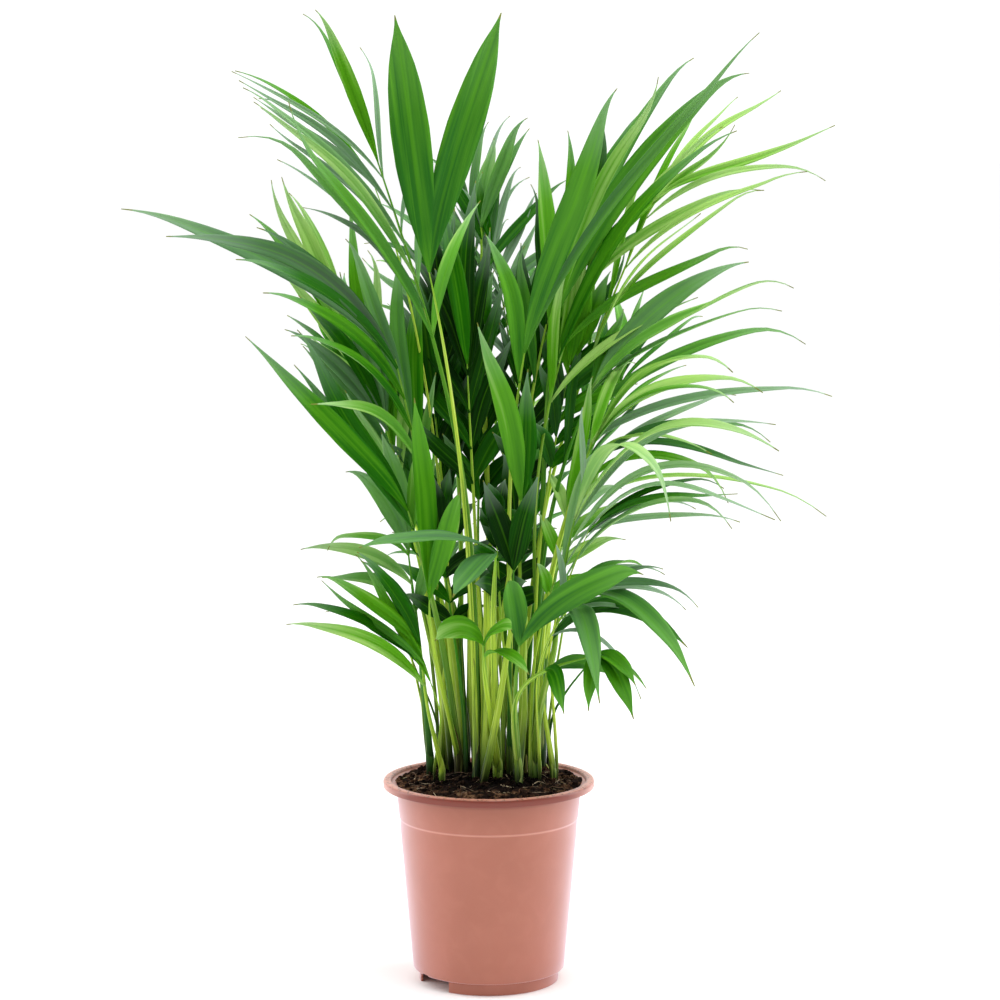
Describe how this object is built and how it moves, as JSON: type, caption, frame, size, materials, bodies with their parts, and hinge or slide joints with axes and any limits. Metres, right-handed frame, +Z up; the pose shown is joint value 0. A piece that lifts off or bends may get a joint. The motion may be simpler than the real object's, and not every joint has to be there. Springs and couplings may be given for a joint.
{
  "type": "potted palm",
  "caption": "Bushy young areca palm, many slender seedlings with arching feathered fronds, in a tapered plastic nursery pot filled with soil.",
  "frame": {"origin": "middle of the underside of the pot, on the surface that it stands on", "axes": "+Z up along the pot's axis; -Y towards the viewer of the picture; +X to that viewer's right"},
  "size_m": [0.3902, 0.3725, 0.5416],
  "materials": {
    "pot_plastic": "satin",
    "soil": "matte",
    "palm_green": "satin"
  },
  "bodies": {
    "root": {"pot": "pot_plastic", "soil": "soil", "palm_01": "palm_green", "palm_02": "palm_green", "palm_03": "palm_green", "palm_04": "palm_green", "palm_05": "palm_green", "palm_06": "palm_green", "palm_07": "palm_green", "palm_08": "palm_green", "palm_09": "palm_green", "palm_10": "palm_green", "palm_11": "palm_green", "palm_12": "palm_green", "palm_13": "palm_green", "palm_14": "palm_green", "palm_15": "palm_green", "palm_16": "palm_green", "palm_17": "palm_green", "palm_18": "palm_green"}
  },
  "joints": []
}
